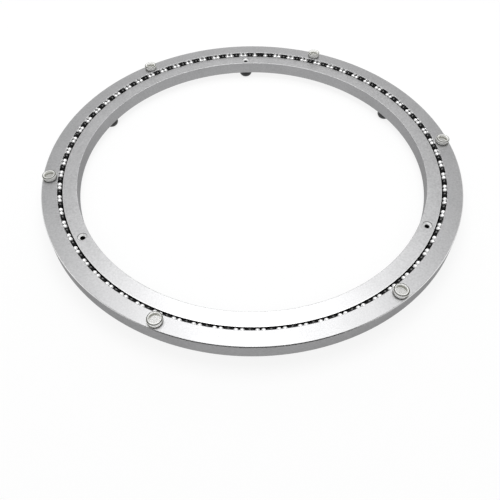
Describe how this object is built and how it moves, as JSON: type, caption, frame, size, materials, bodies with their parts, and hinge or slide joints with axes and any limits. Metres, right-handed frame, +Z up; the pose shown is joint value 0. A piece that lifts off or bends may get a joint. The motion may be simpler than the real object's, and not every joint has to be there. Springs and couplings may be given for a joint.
{
  "type": "lazy susan bearing",
  "caption": "Flat aluminium ring bearing with an open middle: the outer ring turns round the inner one on caged ball pairs, between clear bumpers on top and rubber feet below.",
  "frame": {"origin": "on the bearing's axis, at the level that the feet stand on", "axes": "+Z up along the bearing's axis; +X and +Y level, with the picture taken from the -Y side"},
  "size_m": [0.3999, 0.4, 0.0285],
  "materials": {
    "aluminium": "satin",
    "cage_plastic": "matt",
    "ball_steel": "polished",
    "clear_bumper": "clear",
    "foot_rubber": "satin"
  },
  "bodies": {
    "base": {"inner_ring": "aluminium", "feet": "foot_rubber"},
    "rotor": {"outer_ring": "aluminium", "bumper_1": "clear_bumper", "bumper_2": "clear_bumper", "bumper_3": "clear_bumper", "bumper_4": "clear_bumper", "bumper_5": "clear_bumper", "bumper_6": "clear_bumper"},
    "cage": {"ball_cage": "cage_plastic", "bearing_balls": "ball_steel"}
  },
  "joints": [
    {"name": "rotor_spin", "type": "hinge", "parent": "base", "child": "rotor", "pos_m": [0, 0, 0.01952], "axis": [0, 0, 1], "continuous": true},
    {"name": "cage_spin", "type": "hinge", "parent": "base", "child": "cage", "pos_m": [0, 0, 0.01952], "axis": [0, 0, 1], "continuous": true}
  ],
  "couplings": [
    {"joint": "cage_spin", "follows": "rotor_spin", "ratio": 0.504}
  ]
}
